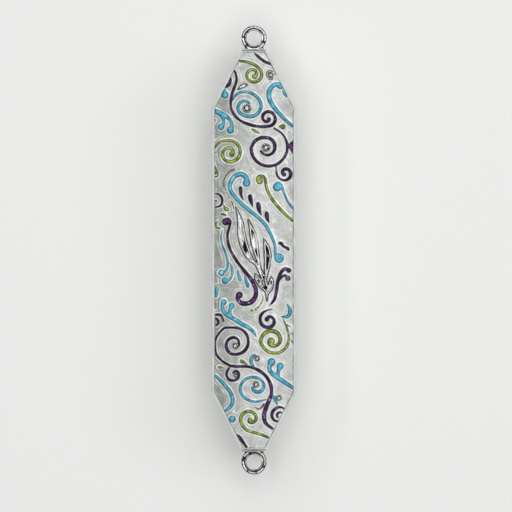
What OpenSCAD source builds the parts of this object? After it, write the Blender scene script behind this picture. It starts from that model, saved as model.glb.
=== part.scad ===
// Mezuzah case: a hollow cast case for a doorpost, with an eyelet at each end.
// The front carries enamel scrollwork; the back has a sliding cover over the scroll.
// Frame: +Z up the case, the front faces -Y, origin at the centre of the overall box.
// Heights in layer() are measured from the doorpost plane towards the front.

/* [Case] */
// Half width of the case at the back
case_half_w = 12.1; // [11.5:0.1:13]
// Half height of the straight sides
shoulder_z = 40.5; // [38:0.5:42]
// Half height of the case without its eyelets
case_half_h = 56.8; // [55:0.1:58]
// Half width of the flat ends
end_half_w = 3.8; // [3.4:0.1:4.4]
// Depth of the case from the doorpost to the rim
case_depth = 10.6; // [10:0.1:12]
// How much narrower each side is at the front
draft = 0.3; // [0.1:0.05:0.5]
// Width of the raised rim around the enamel
rim_w = 0.6; // [0.3:0.05:0.8]

/* [Enamel face] */
// Thickness of the enamel ground
ground_t = 0.45; // [0.3:0.05:0.6]
// How far the rim stands above the ground
rim_lip = 0.35; // [0.2:0.05:0.5]
// How far the coloured scrollwork stands above the ground
scroll_h = 0.6; // [0.3:0.05:0.9]
// How far the silver sprig stands above the ground
sprig_h = 1.15; // [1:0.05:1.5]

/* [Eyelets] */
// Height of the eyelets' centres above and below the middle
eyelet_z = 60.3; // [59.8:0.1:60.5]
// Radius of the ring's centre line
eyelet_r = 2.86; // [2.8:0.02:3]
// Radius of the ring's wire
wire_r = 0.72; // [0.7:0.01:0.8]
// Radius of the nail hole
hole_r = 2.2; // [2.18:0.01:2.25]
// Distance from the doorpost to the middle of the ring
eyelet_h = 4; // [2.8:0.1:6]

/* [Back] */
// Thickness of the walls around the scroll space
wall = 2.7; // [2.4:0.1:3]
// Half length of the scroll space
trough_half = 40; // [39:0.5:40]
// Depth of the scroll space's floor from the doorpost
trough_depth = 8.6; // [8.4:0.1:8.8]
// Thickness of the lips that hold the cover
lip_t = 0.95; // [0.9:0.05:1.1]
// Thickness of the sliding cover
cover_t = 0.9; // [0.8:0.05:0.95]
// Clearance around the cover on each side
slide_gap = 0.05; // [0.03:0.01:0.1]
// Half width of the cover where it runs in the grooves
cover_half_w = 10.35; // [10.2:0.05:10.4]
// Depth of the cover's lower end below the middle
cover_foot = 44; // [43:0.5:45]

/* [Scroll] */
// Length of the rolled parchment
scroll_len = 76; // [60:1:77]
// Outer radius of the rolled parchment
scroll_r = 2.68; // [2.2:0.01:2.7]
// Thickness of the parchment
sheet_t = 0.3; // [0.2:0.05:0.35]
// Distance between one turn and the next
turn_pitch = 0.45; // [0.4:0.01:0.5]
// Number of turns
turns = 4; // [3:1:5]

/* [Hidden] */
$fn = 48;
mid_h = (case_depth - rim_lip + sprig_h) / 2;
ground_h = case_depth - rim_lip;
pocket_h = ground_h - ground_t;
skin = 0.01;
panel_half_h = case_half_h - rim_w;
steps = 3;
cap_steps = 4;
stone_gap = 0.03;

// The slanted ends: n . p = taper_c on the outline
taper_run = [case_half_w - end_half_w, case_half_h - shoulder_z];
nx = taper_run[1] / norm(taper_run);
nz = taper_run[0] / norm(taper_run);
taper_c = nx * case_half_w + nz * shoulder_z;
function taper_x(z, inset) = (taper_c - inset - nz * z) / nx;
function taper_z(x, inset) = (taper_c - inset - nx * x) / nz;

// The case's eight-sided outline, moved in by inset and ending at +-top
function outline(inset, top) =
    let (w = case_half_w - inset)
    let (s = taper_z(w, inset))
    let (e = taper_x(top, inset))
    [[w, -s], [w, s], [e, top], [-e, top], [-w, s], [-w, -s], [-e, -top], [e, -top]];

// A flat shape drawn in (x, z), filling the heights from low to high
module layer(low, high) {
    translate([0, mid_h - low, 0])
        rotate([90, 0, 0])
            linear_extrude(high - low)
                children();
}

// A round shape standing on the height low at (x, z), its axis towards the front
module standing(x, z, low) {
    translate([x, mid_h - low, z]) rotate([90, 0, 0]) children();
}

// ---------- strokes ----------
// A stroke is [widths along it, pieces]. A piece is a point [x, z] or an arc
// [centre x, centre z, first radius, last radius, first angle, last angle].
// A round blob is [x, z, radius].

function arc(p) =
    let (n = max(2, round(abs(p[5] - p[4]) / 30)))
    [for (i = [0:n])
        let (t = i / n)
        let (a = p[4] + (p[5] - p[4]) * t)
        let (r = p[2] + (p[3] - p[2]) * t)
        [p[0] + r * cos(a), p[1] + r * sin(a)]];

function route(pieces) = [for (p = pieces) each len(p) == 2 ? [p] : arc(p)];

// A smooth curve through the points
function between(a, b, c, d, t) =
    (2 * b + (c - a) * t + (2 * a - 5 * b + 4 * c - d) * t * t + (3 * b - a - 3 * c + d) * t * t * t) / 2;

function smooth(p) =
    let (last = len(p) - 1)
    let (q = concat([2 * p[0] - p[1]], p, [2 * p[last] - p[last - 1]]))
    concat(
        [for (i = [1:last]) for (k = [0:steps - 1]) between(q[i - 1], q[i], q[i + 1], q[i + 2], k / steps)],
        [p[last]]);

function width_at(widths, t) =
    let (x = t * (len(widths) - 1))
    let (i = min(floor(x), len(widths) - 2))
    widths[i] + (widths[i + 1] - widths[i]) * (x - i);

function across(line, i) =
    let (d = line[min(i + 1, len(line) - 1)] - line[max(i - 1, 0)])
    [-d[1], d[0]] / norm(d);

function turned(v, a) = [v[0] * cos(a) - v[1] * sin(a), v[0] * sin(a) + v[1] * cos(a)];

function edge(line, widths, side) =
    [for (i = [0:len(line) - 1])
        line[i] + side * across(line, i) * width_at(widths, i / (len(line) - 1)) / 2];

// Half a circle of points around one end, from the left edge to the right edge
function cap(line, widths, i, from) =
    [for (k = [1:cap_steps - 1])
        line[i] + turned(across(line, i), from - 180 * k / cap_steps)
            * width_at(widths, i / (len(line) - 1)) / 2];

function ribbon(stroke) =
    let (line = smooth(route(stroke[1])))
    let (widths = stroke[0])
    let (last = len(line) - 1)
    let (right = edge(line, widths, -1))
    concat(
        edge(line, widths, 1),
        cap(line, widths, last, 0),
        [for (i = [last:-1:0]) right[i]],
        cap(line, widths, 0, 180));

module ribbons(strokes) {
    for (s = strokes)
        if (len(s) == 3)
            translate([s[0], s[1]]) circle(s[2]);
        else
            polygon(ribbon(s));
}

// Strokes kept inside the rim, clear of the stones and of the strokes that lie across them
module inlay(strokes, over = []) {
    layer(ground_h, ground_h + scroll_h)
        difference() {
            intersection() {
                ribbons(strokes);
                polygon(outline(draft + rim_w, panel_half_h));
            }
            ribbons(over);
            for (s = STONES) translate([s[0], s[1]]) circle(s[2] + stone_gap);
        }
}

// A half ball standing on the enamel
module dome(x, z, r) {
    standing(x, z, ground_h)
        rotate_extrude()
            intersection() {
                circle(r);
                square(r);
            }
}

// ---------- drawing of the scrollwork, in millimetres ----------

TOP_VINE = [
    [[0.55, 0.75, 0.75, 0.85, 0.9, 0.8, 0.7, 0.7],
        [[-6.3, 51.8], [-5.3, 50.3], [-4.9, 48.6], [-5.3, 46.8], [-6.2, 44.4], [-6.6, 42], [-6.4, 39.8],
        [-5.2, 37.8], [-3.2, 36.3], [-0.6, 35.4], [2.2, 34.95], [4.4, 35.1],
        [3.8, 37.4, 2.4, 1.75, 320, 460], [3.8, 37.4, 1.6, 0.75, 490, 690]]],
    [4.25, 37.1, 0.55],
];
TOP_LEAVES = [
    [[0.5, 0.85, 0.9, 0.5], [[-7, 49.6], [-6.7, 48.3], [-6.9, 47.2], [-7.8, 46.3], [-9.1, 45.9]]],
    [[0.3, 0.75, 0.8, 0.6], [[0.1, 55.8], [1.3, 54.7], [2.9, 53.5], [5.1, 52.5]]],
];
STONE_SPIRAL = [
    [[0.5, 0.75, 0.85, 0.9, 0.95, 0.85, 0.7],
        [[5.7, 34.5], [3.9, 28.9, 5.75, 4.7, 45, -180], [-0.5, 29.6], [0.2, 30.8], [1.4, 31.6], [2.9, 31.9],
        [4.5, 31.6], [5.6, 30.6], [5.95, 29.2], [5.6, 27.9], [4.7, 27.1], [3.6, 26.9],
        [2.6, 27.3], [1.9, 28]]],
    [[0.6, 1.1, 1.3, 0.9], [[9.4, 29.8], [10, 29.6], [10.6, 29.8], [11.5, 30.9]]],
    [[1, 0.8, 0.4], [[10.4, 29.5], [10.7, 28.5], [11.1, 27.2]]],
    [[0.4, 0.7, 0.9, 0.85, 0.75], [[6.2, 24.2], [8.9, 21.8, 2.5, 1.5, 180, 360],
        [8.9, 21.8, 1.4, 0.7, 385, 590]]],
    [8.55, 21.4, 0.6],
];
SIDE_CURLS = [
    [[0.45, 0.65, 0.65, 0.5], [[-11.8, 15.8], [-10.4, 15.95], [-9.3, 15.2], [-9, 13.8],
        [-9.5, 12.6], [-10.7, 12.15], [-11.7, 11.5]]],
    [-10.75, 13.95, 0.3],
    [[0.5, 0.7, 0.7, 0.6], [[-11.7, -18.7], [-10.3, -18.25], [-9.2, -18.7], [-8.6, -20.2]]],
    [[0.65, 0.65, 0.5], [[-10.9, -19.3], [-10.1, -20.1], [-10.3, -21.1], [-10.9, -21.5]]],
];
PURPLE_DROPS = [
    [[0.95, 1.05, 0.65, 0.15], [[-3.85, 17.6], [-3.8, 16.6], [-3.6, 15.4], [-3, 14.2]]],
    [[1.25, 1.3, 0.85, 0.2], [[-1.15, 15.2], [-1, 14.4], [-0.7, 13.3], [-0.3, 12.1]]],
    [[1.2, 1.4, 1, 0.2], [[1.15, 13.1], [1.3, 12.2], [1.5, 11.1], [2.1, 9.9]]],
    [[1, 1.2, 0.85, 0.2], [[3.55, 10.5], [3.65, 9.6], [3.85, 8.7], [4.3, 7.8]]],
    [[0.3, 0.85, 0.95, 0.6], [[-5.1, -52], [-4, -53.1], [-3.1, -54.5], [-2, -56.1]]],
];
LONG_SCROLL = [
    [[0.8, 0.8, 0.7, 0.65, 0.7, 0.8, 0.95, 1.1, 1.25, 1.35, 1.25, 1.05],
        [[-8.35, 8.2], [-7.6, 8.9], [-6.8, 8.3], [-7, 6.4], [-7.5, 4.4], [-7.3, 2], [-6.4, -0.6],
        [-4.6, -3.5], [-2.5, -6.2], [-0.6, -8.6], [0.5, -11.2], [0.4, -13.3], [-1, -14.9], [-3.1, -15.2],
        [-4.5, -14.2], [-4.6, -12.9]]],
    [-8.05, 8, 1.05],
    [-4.15, -12.75, 0.95],
];
PURPLE_SPRIG = [
    [[0.5, 0.85, 0.75, 0.7, 0.7], [[7.1, 1.8], [7.75, 1.95], [8.15, 1.2], [8.75, 0.8], [9.3, 0.7],
        [9.8, 0.1]]],
    [[0.75, 0.85, 0.85, 0.95, 0.95, 0.85, 0.3],
        [[9.8, -5.5], [9.1, -5.25], [8.2, -5.7], [7.3, -7], [6.7, -9.2], [6.3, -12], [5.6, -14.3],
        [4.3, -15.8]]],
    [[0.7, 0.75, 0.7, 0.5], [[9.5, -7.7], [8.9, -7.25], [8.1, -7.45], [7.3, -8.3], [6.8, -9.1]]],
    [7.4, 1.95, 0.5],
    [9.5, 0.45, 0.5],
    [9.85, -5.75, 0.72],
    [9.6, -8, 0.72],
];
HOOK = [
    [[0.3, 0.75, 0.95, 1, 0.95, 0.85, 0.75],
        [[5.3, -16.8], [4.2, -20, 3, 1.9, 95, 270], [4.2, -20, 1.8, 0.75, 300, 510]]],
    [3.65, -19.65, 0.65],
];
LOWER_SPIRAL = [
    [[0.6, 0.75, 0.9, 0.85, 0.8, 0.75, 0.6],
        [[-8.2, -22], [-5.4, -26.3, 4.5, 3.3, 105, -80], [-5.4, -26.6, 3, 1.2, -110, -340], [-4.3, -27.1]]],
    [[0.55, 0.7, 0.7, 0.7, 0.6],
        [[-8.2, -21.9], [-9.6, -23.2], [-10.9, -25.3], [-11.05, -27.6], [-10.5, -29.8],
        [-9, -31.5], [-6.7, -32.8]]],
];
LOWER_VINE = [
    [[0.75, 0.8, 0.75, 0.85, 0.9, 0.9, 1.05, 1.25, 1.1, 0.7],
        [[-6.9, -32.85], [-4.6, -33], [-2, -33], [0.2, -33.6], [2.4, -34.8], [4, -36.6],
        [4.9, -38.9], [4.8, -41.4], [3.6, -44.2], [2.9, -46.6], [3.2, -48.9], [5.2, -50.6]]],
];
LOWER_CURLS = [
    [[0.5, 0.75, 0.75, 0.7, 0.5],
        [[-6.7, -33], [-7.5, -34.2], [-7.8, -35.4], [-7.2, -36.6], [-5.9, -37.05], [-4.7, -36.5],
        [-4.2, -35.4], [-4.6, -34.5], [-5.4, -34.3], [-6, -34.9]]],
    [[0.4, 0.65, 0.8, 0.8, 0.7],
        [[9, -45.4], [7.9, -44.6], [6.6, -44.65], [5.4, -45.6], [5.05, -46.9], [5.6, -48.2], [6.7, -48.6]]],
    [[0.5, 0.6, 0.5], [[8.6, -46.6], [7.4, -45.95], [6.5, -46.6], [6.7, -47.4]]],
];
TOP_SPIRAL = [
    [[0.7, 0.9, 1, 1.05, 1.1, 1.1, 1, 0.8],
        [[-6.2, 42.4], [-5.2, 43.9], [-3.8, 44.7], [-1.9, 44.8], [-0.1, 44.1], [1.4, 42.7],
        [2, 40.9], [1.4, 39.1],
        [0, 38], [-1.9, 37.9], [-3.8, 38.7], [-4.6, 40.2], [-4, 41.7], [-2.6, 42.3], [-1.3, 41.7]]],
];
TOP_STEMS = [
    [[0.7, 1, 1.2], [[-8.6, 45.9], [-8.4, 45.2], [-8.25, 44.4]]],
    [-8.25, 44, 1.15],
    [[0.9, 1.4, 1.5, 1.35, 1.1, 0.95],
        [[7.7, 46.9], [6.4, 47], [5, 46.2], [4.2, 44.4], [4.5, 42.4], [5.8, 40.3], [7.7, 38.1],
        [9.8, 36.1], [11.9, 34.4]]],
    [7.5, 46.6, 1.05],
    [[1, 1.1, 0.4], [[8.5, 45.2], [8.7, 44.3], [9.4, 43.2]]],
    [[0.9, 1.1, 1, 0.85, 0.7, 0.75, 0.75],
        [[6, 18], [6.6, 18.9], [7.6, 18.4], [8.2, 17], [8.8, 15.5], [9.7, 13.5], [11.7, 11]]],
    [6.55, 17.8, 1.25],
];
SIDE_SPRIG = [
    [[1.5, 1.7, 1.3, 1, 1, 0.9], [[-11.9, 39.8], [-10, 38.9], [-8.2, 38.1], [-6.8, 36.9],
        [-6.2, 35.2], [-6.5, 34.2]]],
    [[1.1, 1, 0.9, 0.8], [[-9.6, 38.5], [-8.7, 37.2], [-8.6, 35.8], [-9.2, 35]]],
    [-6.7, 34, 1.1],
    [-9.35, 34.9, 1],
];
BLUE_SCROLL = [
    [[1.2, 1.5, 1.45, 1.4, 1.35, 1.25, 1.2, 1.15, 1.1, 1.05, 1, 0.95, 0.85, 0.8],
        [[-2.1, 19.1], [-2.2, 20.5], [-3.5, 21.5], [-5.3, 21], [-6.6, 19.3], [-6.8, 17.4],
        [-5.8, 15.6], [-4, 13.5],
        [-1.5, 11.4], [1.2, 9.2], [3.4, 6.9], [4.9, 4], [5.9, 1.4], [6, -0.8], [6.3, -2.2]]],
    [-2.1, 19, 1.15],
    [7.1, -2.3, 1.4],
];
FORK = [
    [[0.3, 0.55, 0.65, 0.7, 0.75, 0.75, 0.8],
        [[-8.9, 5.9], [-9.35, 3.8], [-9, 1.5], [-8.1, -0.8], [-7.5, -3.2], [-7.7, -5.4], [-8.9, -6.5]]],
    [-9.3, -6.45, 0.95],
    [[0.3, 0.65, 0.75, 0.85, 0.9], [[-6.9, -3.4], [-6.3, -5], [-6.2, -6.9], [-6.9, -8.3], [-7.9, -8.8]]],
    [-8.2, -8.75, 1],
];
BLUE_DROPS = [
    [[0.25, 0.75, 1.1, 1], [[-4.65, -5.4], [-4.5, -6.6], [-4.1, -7.9], [-3.95, -8.5]]],
    [[0.25, 0.75, 1.15, 1.05], [[-2.75, -6.9], [-2.4, -8.2], [-1.95, -9.6], [-1.8, -10.3]]],
    [[1.1, 1.6, 1.3], [[-10.5, -10.9], [-10.8, -12.1], [-11, -13.2]]],
    [[0.3, 0.6, 0.6], [[10.2, -23.2], [10.9, -23.8], [11.6, -24.4]]],
    [[0.3, 0.8, 0.7], [[10.4, -25.3], [11, -26.1], [11.6, -27]]],
    [-6.15, -47.9, 1.05],
];
BRANCH = [
    [[1, 1.1, 1.15, 1.25, 1.3, 1.3, 1.25, 1.2, 1, 0.3],
        [[-8.7, -14.9], [-9, -16], [-8.6, -17.5], [-7.3, -18.7], [-5.4, -19.7], [-3.4, -21], [-1.5, -22],
        [-0.1, -23.3], [0.8, -24.9]]],
    [[1, 1.05, 1, 0.9], [[-6.4, -15.9], [-6.8, -16.9], [-6.8, -18], [-6.3, -19]]],
    [-8.55, -14.75, 0.9],
    [-6.3, -15.8, 0.9],
    [[0.5, 1.15, 1.25, 1.1, 0.4], [[9.4, -15.4], [10.1, -16.6], [10.2, -18], [9.3, -18.9], [7.7, -18.9]]],
];
LOWER_FORK = [
    [[0.4, 0.95, 1.15, 1, 0.8], [[0.2, -33.2], [-0.5, -32.4], [-0.85, -31.3], [-0.5, -30.2],
        [0.3, -29.75]]],
    [[1.2, 1.4, 1.4, 1.25, 1.25, 1.3, 1.35, 1.25, 1.1],
        [[5.2, -31.4], [4.8, -32.2], [4.3, -33.2], [4.7, -34.5], [6.2, -35.9], [8.4, -37.3],
        [11.8, -39.6]]],
    [[1.1, 1.3, 1.1, 1], [[7.5, -32.6], [7.3, -33.3], [6.9, -34.3], [6.8, -35.6]]],
    [4.95, -31.7, 1.15],
    [7.45, -32.9, 1.05],
];
BOTTOM_SPIRAL = [
    [[0.4, 0.75, 0.95, 0.95, 0.9, 0.9, 0.9, 1.05, 1.15, 1],
        [[3.5, -42.3], [1.8, -42.8], [-0.5, -42.9], [-2.6, -41.9], [-3.8, -40.2], [-3.7, -38.2],
        [-2.4, -36.6],
        [-0.4, -36], [1.6, -36.5], [2.8, -37.9], [2.5, -39.5], [1.2, -40.3], [-0.1, -39.8], [-0.4, -39]]],
];
BOTTOM_STEMS = [
    [[0.7, 1.05, 1.15, 1.25, 1.25, 1.1, 0.9],
        [[-11.6, -35], [-10, -36.5], [-7.9, -38.7], [-6.4, -41], [-6.1, -43.3], [-7.3, -45],
        [-9.2, -46.2]]],
    [[1.1, 1.35, 1, 0.25], [[5.8, -41.6], [6.05, -42.3], [6.3, -43.1], [6.7, -44]]],
];
GREEN_TOP = [
    [[0.8, 0.95, 1, 1, 0.95, 0.95, 0.9, 0.9],
        [[-5.9, 54], [-4.2, 53.65], [-1.6, 53.2], [0.3, 52.4], [-0.1, 49.7, 2.35, 2.1, 35, -100],
        [-0.3, 49.7, 1.95, 0.9, -130, -400]]],
    [0.15, 49.2, 0.8],
];
GREEN_SIDE = [
    [[0.6, 0.9, 1, 1.1, 1.1, 1, 1, 1],
        [[-11.9, 26.6], [-11.1, 29], [-9.6, 30.6], [-6.9, 27.7, 3.4, 2.6, 105, -110],
        [-6.9, 27.4, 2.2, 1.1, -140, -350]]],
    [-6.3, 27.2, 0.85],
    [[0.4, 0.8, 0.65, 0.5], [[-11.6, 26], [-11.35, 24.2], [-10.7, 22.8], [-10.1, 21]]],
    [[0.5, 0.95, 0.8, 0.5], [[-10.2, 22.1], [-11.2, 21.7], [-11.2, 20.8], [-10.3, 20.8]]],
];
SPROUT = [
    [[0.8, 0.95, 1, 0.95, 0.95, 0.95, 0.95, 1, 0.85],
        [[1.8, 19.9, 0.6, 1.35, 230, 20], [3.35, 19], [3.65, 17.4], [4.4, 15.6], [5.7, 13.6],
        [7.4, 11.6], [9.2, 9.8], [11.8, 7.6]]],
    [1.55, 19.6, 1],
];
LEAVES = [
    [[0.35, 0.9, 0.95, 0.5], [[-0.8, 34.4], [0, 33.9], [0.8, 33.5], [1.6, 33.2]]],
    [[0.25, 0.8, 1, 1], [[6.8, 35], [7.5, 35], [8, 34.95], [8.4, 34.9]]],
    [8.2, 34.95, 0.8],
    [[0.3, 0.65, 1.2, 1.2], [[-8.7, 13.1], [-8.4, 12.3], [-8.1, 11.7], [-7.6, 11.5]]],
    [[0.75, 0.75, 0.5], [[-9.2, 10.2], [-8.6, 10.1], [-7.9, 9.9]]],
    [[0.4, 0.75, 0.85, 0.6], [[-10.3, 8.4], [-10.8, 7.4], [-10.6, 6.4], [-9.6, 6.2]]],
    [[0.3, 0.45, 0.4], [[-6.9, 14.2], [-6.1, 13.3], [-5.7, 11.6]]],
    [[0.25, 0.75, 1.2, 1], [[-1.7, -32.6], [-2.6, -32], [-3.3, -31.6], [-3.7, -31.4]]],
    [[0.2, 0.6, 1.1, 0.9], [[-8.5, -33.4], [-9.2, -33.3], [-9.7, -33.2], [-10, -33.2]]],
];
GREEN_LOWER = [
    [[0.4, 0.7, 0.95, 1, 1.05, 1.2, 1.3, 1.15, 1.05, 1, 1, 0.9],
        [[8.2, -19.5], [8.9, -21], [9.5, -22.6], [5.7, -25.3, 4.2, 3.8, 8, -150],
        [5.3, -25.7, 3.4, 1.5, -180, -450], [5.2, -25.9, 1.2, 0.75, -475, -620]]],
    [5.05, -25.85, 0.95],
    [[0.45, 0.4, 0.3], [[9.1, -21.1], [10, -21.5], [10.9, -22.2]]],
];
GREEN_BOTTOM = [
    [[0.75, 0.95, 1.05, 1.1, 1.1, 1.05, 1, 0.95, 0.9],
        [[4.1, -53.2], [2, -52.3], [-0.4, -51.6], [-2.4, -50.8], [-1.4, -47.9, 2.4, 2.15, 205, 60],
        [-1, -47.8, 1.75, 0.9, 30, -130]]],
    [-1.15, -48.15, 0.75],
];
SILVER_STROKES = [
    [[0.35, 0.5, 0.5, 0.35], [[4.8, 49.6, 1.1, 1.05, 70, 290]]],
    [[0.3, 0.4, 0.3], [[6, 50], [6.6, 50], [6.9, 49.4]]],
    [[0.3, 1, 0.95, 0.4], [[-4.4, 45.6], [-3.6, 46.2], [-2.8, 46.6], [-2.1, 46.8]]],
    [[0.2, 0.3, 0.3, 0.2], [[0.5, -44.7], [1.1, -45.1], [2.1, -44.7], [2.8, -43.6]]],
];
SPRIG = [
    [[0.3, 1.1, 1.4, 1.2, 0.8], [[3.7, -14.5], [3.6, -11.5], [2.9, -8.6], [1.7, -5.8], [0.4, -3.6]]],
    [[0.5, 1.8, 2.3, 2.3, 1.6, 0.15], [[0.8, -4.4], [-1.4, -1.9], [-2.8, 1.3], [-3.6, 4.8],
        [-3.9, 8], [-5.2, 12.4]]],
    [[0.4, 1.4, 2.1, 1.8, 0.15], [[2, -6], [0.8, -1.4], [0.2, 1.8], [-0.4, 4.8], [-1.7, 8.8]]],
    [[0.4, 1.6, 2.1, 1.6, 0.15], [[3.2, -9.2], [3.7, -4.8], [3.9, -1.6], [3.5, 1], [2.7, 3.3]]],
    [[0.3, 1.8, 1.7, 0.15], [[3.5, -12], [2, -9.8], [0.9, -8], [0.3, -6.6]]],
    [[0.3, 1.7, 1.5, 0.15], [[3.6, -12.8], [4.5, -10.8], [4.9, -9], [4.9, -7.4]]],
];
// Beads are [x, z, radius]
GREEN_BEADS = [
    [-0.6, -17.1, 0.45], [0.5, -16.85, 0.37], [1.15, -16.25, 0.32], [1.65, -15.65, 0.3],
    [2.05, -15.05, 0.29], [2.35, -14.4, 0.26], [2.55, -13.8, 0.24], [2.5, -13.2, 0.2], [2.3, -12.7, 0.17]
];
// Stones are [x, z, radius of the setting]
STONES = [
    [-2, 40.15, 1.15], [3.4, 29, 1.15], [-5.3, -27.2, 0.85], [0.6, -38.1, 0.85],
    [0.85, -30.75, 0.7], [7.15, -42, 0.75], [4.8, 49.6, 0.65], [-5.2, -35.6, 0.5]
];
// The arc of small beads beside the long turquoise scroll
bead_arc = [-4.4, 18.9, 4.15];
bead_arc_r = 0.2;
bead_count = 11;

// ---------- case ----------

module case_shell() {
    color([0.66, 0.68, 0.66])
        difference() {
            hull() {
                layer(0, skin) polygon(outline(0, case_half_h));
                layer(case_depth - skin, case_depth) polygon(outline(draft, case_half_h - draft));
            }
            layer(pocket_h, case_depth + 1) polygon(outline(draft + rim_w, panel_half_h));
            layer(-1, trough_depth) polygon(outline(wall, trough_half));
            layer(lip_t, groove_h) groove_outline();
            // The upper end is cut back, so that the cover's head lies on it
            layer(-1, groove_h)
                translate([-case_half_w - 1, shoulder_z])
                    square([2 * case_half_w + 2, case_half_h]);
        }
}

groove_h = lip_t + cover_t + 2 * slide_gap;
groove_half_w = cover_half_w + slide_gap;
function foot_points(half_w, foot) =
    let (inset = case_half_w - half_w)
    [[half_w, shoulder_z + 1], [half_w, -taper_z(half_w, inset)], [taper_x(foot, inset), -foot],
    [-taper_x(foot, inset), -foot], [-half_w, -taper_z(half_w, inset)], [-half_w, shoulder_z + 1]];

module groove_outline() {
    polygon(foot_points(groove_half_w, cover_foot + slide_gap));
}

module enamel_ground() {
    color([0.76, 0.78, 0.76])
        layer(pocket_h, ground_h) polygon(outline(draft + rim_w, panel_half_h));
}

// A round ring on a short foot, clipped where it stands on the end of the case
module eyelet() {
    foot_low = 3.4;
    foot_high = 2.3;
    foot_top = case_half_h + 1;
    intersection() {
        difference() {
            union() {
                standing(0, eyelet_z, eyelet_h) rotate_extrude() translate([eyelet_r, 0]) circle(wire_r);
                layer(eyelet_h - wire_r * 0.9, eyelet_h + wire_r * 0.9)
                    polygon([[-foot_low, case_half_h], [foot_low, case_half_h], [foot_high, foot_top],
                        [-foot_high, foot_top]]);
            }
            standing(0, eyelet_z, eyelet_h - 2) cylinder(r = hole_r, h = 4);
        }
        translate([-10, -10, case_half_h]) cube([20, 20, 20]);
    }
}

module top_eyelet() {
    color([0.72, 0.73, 0.72]) eyelet();
}

module bottom_eyelet() {
    color([0.72, 0.73, 0.72]) mirror([0, 0, 1]) eyelet();
}

// ---------- cover and scroll ----------

module back_cover() {
    face_h = lip_t + slide_gap;
    inner_h = face_h + cover_t;
    head_z = shoulder_z + 2 * slide_gap;
    rib_z = head_z + 5;
    rib_step = 1.5;
    color([0.6, 0.62, 0.61])
        difference() {
            union() {
                layer(face_h, inner_h) polygon(foot_points(cover_half_w, cover_foot));
                layer(slide_gap, inner_h)
                    intersection() {
                        polygon(outline(slide_gap, case_half_h));
                        translate([-case_half_w, head_z]) square([2 * case_half_w, case_half_h]);
                    }
            }
            // Grip for the thumb
            for (i = [0:4])
                translate([-5, mid_h, rib_z + i * rib_step])
                    rotate([0, 90, 0]) cylinder(r = 0.45, h = 10);
        }
}

scroll_h_mid = (groove_h + trough_depth) / 2;
scroll_low = -trough_half + 0.1;
film_t = 0.1;
thread_w = 0.3;

// The scroll's axis is upright, in the middle of its space
module upright(z) {
    translate([0, mid_h - scroll_h_mid, z]) children();
}

module tube(outer, inner, h) {
    difference() {
        cylinder(r = outer, h = h);
        translate([0, 0, -1]) cylinder(r = inner, h = h + 2);
    }
}

function coil_point(a, depth) = (scroll_r - depth - turn_pitch * a / 360) * [cos(a), sin(a)];

module parchment_scroll() {
    coil_step = 15;
    last = turns * 360;
    color([0.9, 0.84, 0.68])
        upright(scroll_low)
            linear_extrude(scroll_len)
                polygon(concat(
                    [for (a = [0:coil_step:last]) coil_point(a, 0)],
                    [for (a = [last:-coil_step:0]) coil_point(a, sheet_t)]));
}

module scroll_film() {
    color([0.85, 0.9, 0.95, 0.4])
        upright(scroll_low) tube(scroll_r + 0.02 + film_t, scroll_r + 0.02, scroll_len);
}

module scroll_thread() {
    inner = scroll_r + 0.02 + film_t;
    color([0.55, 0.12, 0.12])
        for (i = [-1:1])
            upright(scroll_low + scroll_len / 2 + i * 0.4) tube(inner + 0.2, inner, thread_w);
}

// ---------- scrollwork ----------

purple = [0.27, 0.16, 0.36];
turquoise = [0.31, 0.64, 0.75];
green = [0.5, 0.56, 0.21];
silver = [0.8, 0.8, 0.8];

module purple_top_vine() {
    color(purple) inlay(concat(TOP_VINE, TOP_LEAVES));
}

module purple_stone_spiral() {
    color(purple) inlay(STONE_SPIRAL, TOP_VINE);
}

module purple_side_curls() {
    color(purple) inlay(SIDE_CURLS, LOWER_SPIRAL);
}

module purple_drops() {
    color(purple) inlay(PURPLE_DROPS);
}

module purple_long_scroll() {
    color(purple) inlay(LONG_SCROLL);
}

module purple_sprig() {
    color(purple) inlay(PURPLE_SPRIG);
}

module purple_hook() {
    color(purple) inlay(HOOK);
}

module purple_lower_vine() {
    color(purple) inlay(concat(LOWER_SPIRAL, LOWER_VINE));
}

module purple_lower_curls() {
    color(purple) inlay(LOWER_CURLS, concat(LOWER_SPIRAL, LOWER_VINE));
}

module turquoise_top_spiral() {
    color(turquoise) inlay(TOP_SPIRAL, TOP_VINE);
}

module turquoise_top_stems() {
    color(turquoise) inlay(TOP_STEMS, TOP_LEAVES);
}

module turquoise_side_sprig() {
    color(turquoise) inlay(SIDE_SPRIG);
}

module turquoise_long_scroll() {
    color(turquoise) inlay(BLUE_SCROLL);
}

module turquoise_fork() {
    color(turquoise) inlay(FORK);
}

module turquoise_drops() {
    color(turquoise) inlay(BLUE_DROPS);
}

module turquoise_branch() {
    color(turquoise) inlay(BRANCH);
}

module turquoise_lower_fork() {
    color(turquoise) inlay(LOWER_FORK, LOWER_VINE);
}

module turquoise_bottom_spiral() {
    color(turquoise) inlay(BOTTOM_SPIRAL, LOWER_VINE);
}

module turquoise_bottom_stems() {
    color(turquoise) inlay(BOTTOM_STEMS, LOWER_CURLS);
}

module green_top_spiral() {
    color(green) inlay(GREEN_TOP);
}

module green_side_spiral() {
    color(green) inlay(GREEN_SIDE);
}

module green_sprout() {
    color(green) inlay(SPROUT);
}

module green_leaves() {
    color(green) inlay(LEAVES, LOWER_VINE);
}

module green_lower_spiral() {
    color(green) inlay(GREEN_LOWER, BRANCH);
}

module green_bottom_spiral() {
    color(green) inlay(GREEN_BOTTOM);
}

module green_beads() {
    color(green) for (b = GREEN_BEADS) dome(b[0], b[1], b[2]);
}

// ---------- silver and stones ----------

module silver_leaf_sprig() {
    color(silver) layer(ground_h, ground_h + sprig_h) ribbons(SPRIG);
}

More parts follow.
